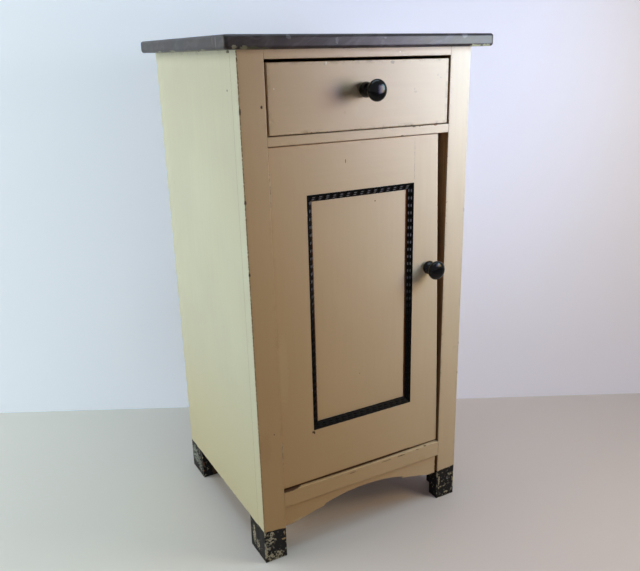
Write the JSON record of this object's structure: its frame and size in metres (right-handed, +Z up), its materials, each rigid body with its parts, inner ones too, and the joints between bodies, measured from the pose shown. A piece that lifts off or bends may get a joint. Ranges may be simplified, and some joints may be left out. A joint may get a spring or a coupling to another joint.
{
  "type": "dry sink cabinet",
  "caption": "Small painted cabinet on block feet with an overhanging dark slab top, a drawer over a panelled door with notched black moulding, and turned black knobs.",
  "frame": {"origin": "on the floor, under the middle of the bounding box (knobs included)", "axes": "+X to the right seen from the front, -Y out of the front, +Z up"},
  "size_m": [0.451, 0.4096, 0.841],
  "materials": {
    "slab_paint": "dark painted wood with faint veins, worn edges",
    "cream_paint": "satin cream paint on wood, worn at the edges; feet painted black",
    "bare_wood": "unpainted pine, aged",
    "black_wood": "ebonised wood, semi-gloss",
    "iron": "plain steel, dull",
    "brass": "aged brass"
  },
  "bodies": {
    "case": {"top_slab": "slab_paint", "front_stile_left": "cream_paint", "front_stile_right": "cream_paint", "side_board_left": "cream_paint", "side_board_right": "cream_paint", "top_front_rail": "cream_paint", "drawer_divider_rail": "cream_paint", "bottom_front_rail": "cream_paint", "front_apron": "cream_paint", "dust_board": "bare_wood", "drawer_stops": "bare_wood", "top_back_rail": "bare_wood", "cupboard_floor": "bare_wood", "shelf": "bare_wood", "door_stop_strip": "bare_wood", "drawer_guide_left": "bare_wood", "drawer_guide_right": "bare_wood", "top_kicker_left": "bare_wood", "top_kicker_right": "bare_wood", "floor_cleat_left": "bare_wood", "floor_cleat_right": "bare_wood", "rear_foot_block_left": "bare_wood", "rear_foot_block_right": "bare_wood", "shelf_cleat_left": "bare_wood", "shelf_cleat_right": "bare_wood", "back_board_left": "bare_wood", "back_board_middle": "bare_wood", "back_board_right": "bare_wood", "slab_screws": "iron", "back_nails": "iron", "hinge_screws_case": "iron", "upper_hinge_case_leaf": "brass", "lower_hinge_case_leaf": "brass", "upper_hinge_pin": "brass", "lower_hinge_pin": "brass"},
    "drawer": {"drawer_front": "cream_paint", "drawer_side_left": "bare_wood", "drawer_side_right": "bare_wood", "drawer_back": "bare_wood", "drawer_bottom": "bare_wood", "drawer_knob": "black_wood", "drawer_knob_screw": "iron"},
    "door": {"door_hinge_stile": "cream_paint", "door_latch_stile": "cream_paint", "door_panel": "cream_paint", "hinge_screws_door": "iron", "door_top_rail": "cream_paint", "door_bottom_rail": "cream_paint", "moulding_left": "black_wood", "moulding_right": "black_wood", "moulding_top": "black_wood", "moulding_bottom": "black_wood", "upper_hinge_door_leaf": "brass", "lower_hinge_door_leaf": "brass"},
    "latch": {"door_knob": "black_wood", "latch_finger": "bare_wood", "latch_washer": "iron", "latch_pin": "iron"}
  },
  "joints": [
    {"name": "drawer_slide", "type": "slide", "parent": "case", "child": "drawer", "axis": [0, -1, 0], "range_m": [0, 0.25]},
    {"name": "door_hinge", "type": "hinge", "parent": "case", "child": "door", "pos_m": [-0.15925, -0.15725, 0.409], "axis": [0, 0, -1], "range_deg": [0, 105]},
    {"name": "latch_turn", "type": "hinge", "parent": "door", "child": "latch", "pos_m": [0.127, -0.15625, 0.47], "axis": [0, -1, 0], "range_deg": [0, 90]}
  ]
}
